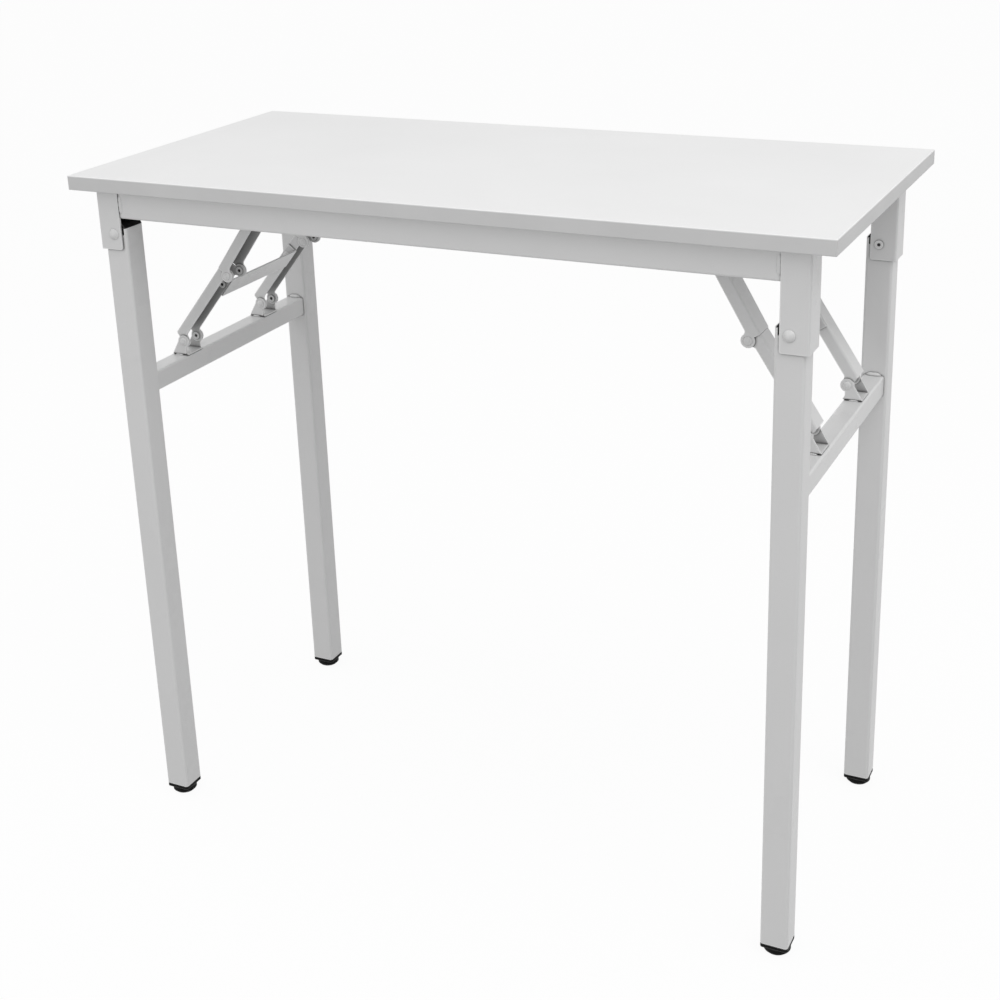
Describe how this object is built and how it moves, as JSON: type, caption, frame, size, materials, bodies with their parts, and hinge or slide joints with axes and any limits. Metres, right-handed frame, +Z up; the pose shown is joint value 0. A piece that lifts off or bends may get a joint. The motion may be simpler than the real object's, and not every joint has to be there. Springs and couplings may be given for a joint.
{
  "type": "folding desk",
  "caption": "Small folding desk: laminated top on a square steel-tube frame whose leg pairs fold flat beneath it on locking jointed braces, with levelling feet.",
  "frame": {"origin": "on the floor, under the middle of the top", "axes": "+X to the right along the length of the top, +Y to the back, +Z up"},
  "size_m": [0.8, 0.38, 0.735],
  "materials": {
    "laminate": "white melamine laminate on particle board, fine matt texture",
    "edge_tape": "white plastic edge band, satin",
    "white_paint": "white powder coat on steel, satin with slight orange peel",
    "black_plastic": "black moulded plastic, matt",
    "plated_steel": "zinc plated steel screws"
  },
  "bodies": {
    "top": {"top_board": "laminate", "edge_band": "edge_tape", "front_rail": "white_paint", "rear_rail": "white_paint", "left_cross_rail": "white_paint", "right_cross_rail": "white_paint", "frame_screws": "plated_steel", "front_left_bracket": "white_paint", "left_front_hanger": "white_paint", "rear_left_bracket": "white_paint", "left_rear_hanger": "white_paint", "left_leg_rivets": "white_paint", "left_hanger_rivets": "white_paint", "front_right_bracket": "white_paint", "right_front_hanger": "white_paint", "rear_right_bracket": "white_paint", "right_rear_hanger": "white_paint", "right_leg_rivets": "white_paint", "right_hanger_rivets": "white_paint"},
    "left_legs": {"left_crossbar": "white_paint", "left_foot_rivets": "white_paint", "front_left_leg": "white_paint", "front_left_top_plug": "black_plastic", "front_left_foot_plug": "black_plastic", "left_front_brace_foot": "white_paint", "rear_left_leg": "white_paint", "rear_left_top_plug": "black_plastic", "rear_left_foot_plug": "black_plastic", "left_rear_brace_foot": "white_paint"},
    "left_lower_braces": {"left_cross_link": "white_paint", "left_knee_rivets": "white_paint", "left_tie_rivets": "white_paint", "left_front_lower_link": "white_paint", "left_rear_lower_link": "white_paint"},
    "left_upper_braces": {"left_upper_pins": "white_paint", "left_front_upper_link": "white_paint", "left_rear_upper_link": "white_paint"},
    "right_legs": {"right_crossbar": "white_paint", "right_foot_rivets": "white_paint", "front_right_leg": "white_paint", "front_right_top_plug": "black_plastic", "front_right_foot_plug": "black_plastic", "right_front_brace_foot": "white_paint", "rear_right_leg": "white_paint", "rear_right_top_plug": "black_plastic", "rear_right_foot_plug": "black_plastic", "right_rear_brace_foot": "white_paint"},
    "right_lower_braces": {"right_cross_link": "white_paint", "right_knee_rivets": "white_paint", "right_tie_rivets": "white_paint", "right_front_lower_link": "white_paint", "right_rear_lower_link": "white_paint"},
    "right_upper_braces": {"right_upper_pins": "white_paint", "right_front_upper_link": "white_paint", "right_rear_upper_link": "white_paint"},
    "front_left_foot_screw": {"front_left_foot": "black_plastic"},
    "rear_left_foot_screw": {"rear_left_foot": "black_plastic"},
    "front_right_foot_screw": {"front_right_foot": "black_plastic"},
    "rear_right_foot_screw": {"rear_right_foot": "black_plastic"}
  },
  "joints": [
    {"name": "left_fold", "type": "hinge", "parent": "top", "child": "left_legs", "pos_m": [-0.358, 0, 0.6735], "axis": [0, -1, 0], "range_deg": [0, 90]},
    {"name": "left_brace_foot", "type": "hinge", "parent": "left_legs", "child": "left_lower_braces", "pos_m": [-0.351, 0, 0.5305], "axis": [0, -1, 0], "range_deg": [0, 45.3]},
    {"name": "left_knee", "type": "hinge", "parent": "left_lower_braces", "child": "left_upper_braces", "pos_m": [-0.28524, 0, 0.61171], "axis": [0, -1, 0], "range_deg": [-182.7, 0]},
    {"name": "right_fold", "type": "hinge", "parent": "top", "child": "right_legs", "pos_m": [0.358, 0, 0.643], "axis": [0, 1, 0], "range_deg": [0, 90]},
    {"name": "right_brace_foot", "type": "hinge", "parent": "right_legs", "child": "right_lower_braces", "pos_m": [0.351, 0, 0.517], "axis": [0, 1, 0], "range_deg": [0, 23.6]},
    {"name": "right_knee", "type": "hinge", "parent": "right_lower_braces", "child": "right_upper_braces", "pos_m": [0.29408, 0, 0.60464], "axis": [0, 1, 0], "range_deg": [-167.2, 0]},
    {"name": "front_left_foot_height", "type": "slide", "parent": "left_legs", "child": "front_left_foot_screw", "axis": [0, 0, -1], "range_m": [0, 0.01]},
    {"name": "rear_left_foot_height", "type": "slide", "parent": "left_legs", "child": "rear_left_foot_screw", "axis": [0, 0, -1], "range_m": [0, 0.01]},
    {"name": "front_right_foot_height", "type": "slide", "parent": "right_legs", "child": "front_right_foot_screw", "axis": [0, 0, -1], "range_m": [0, 0.01]},
    {"name": "rear_right_foot_height", "type": "slide", "parent": "right_legs", "child": "rear_right_foot_screw", "axis": [0, 0, -1], "range_m": [0, 0.01]}
  ],
  "couplings": [
    {"joint": "left_brace_foot", "follows": "left_fold", "ratio": 0.5012},
    {"joint": "left_knee", "follows": "left_fold", "ratio": -2.0283},
    {"joint": "right_brace_foot", "follows": "right_fold", "ratio": 0.26108},
    {"joint": "right_knee", "follows": "right_fold", "ratio": -1.8565}
  ]
}
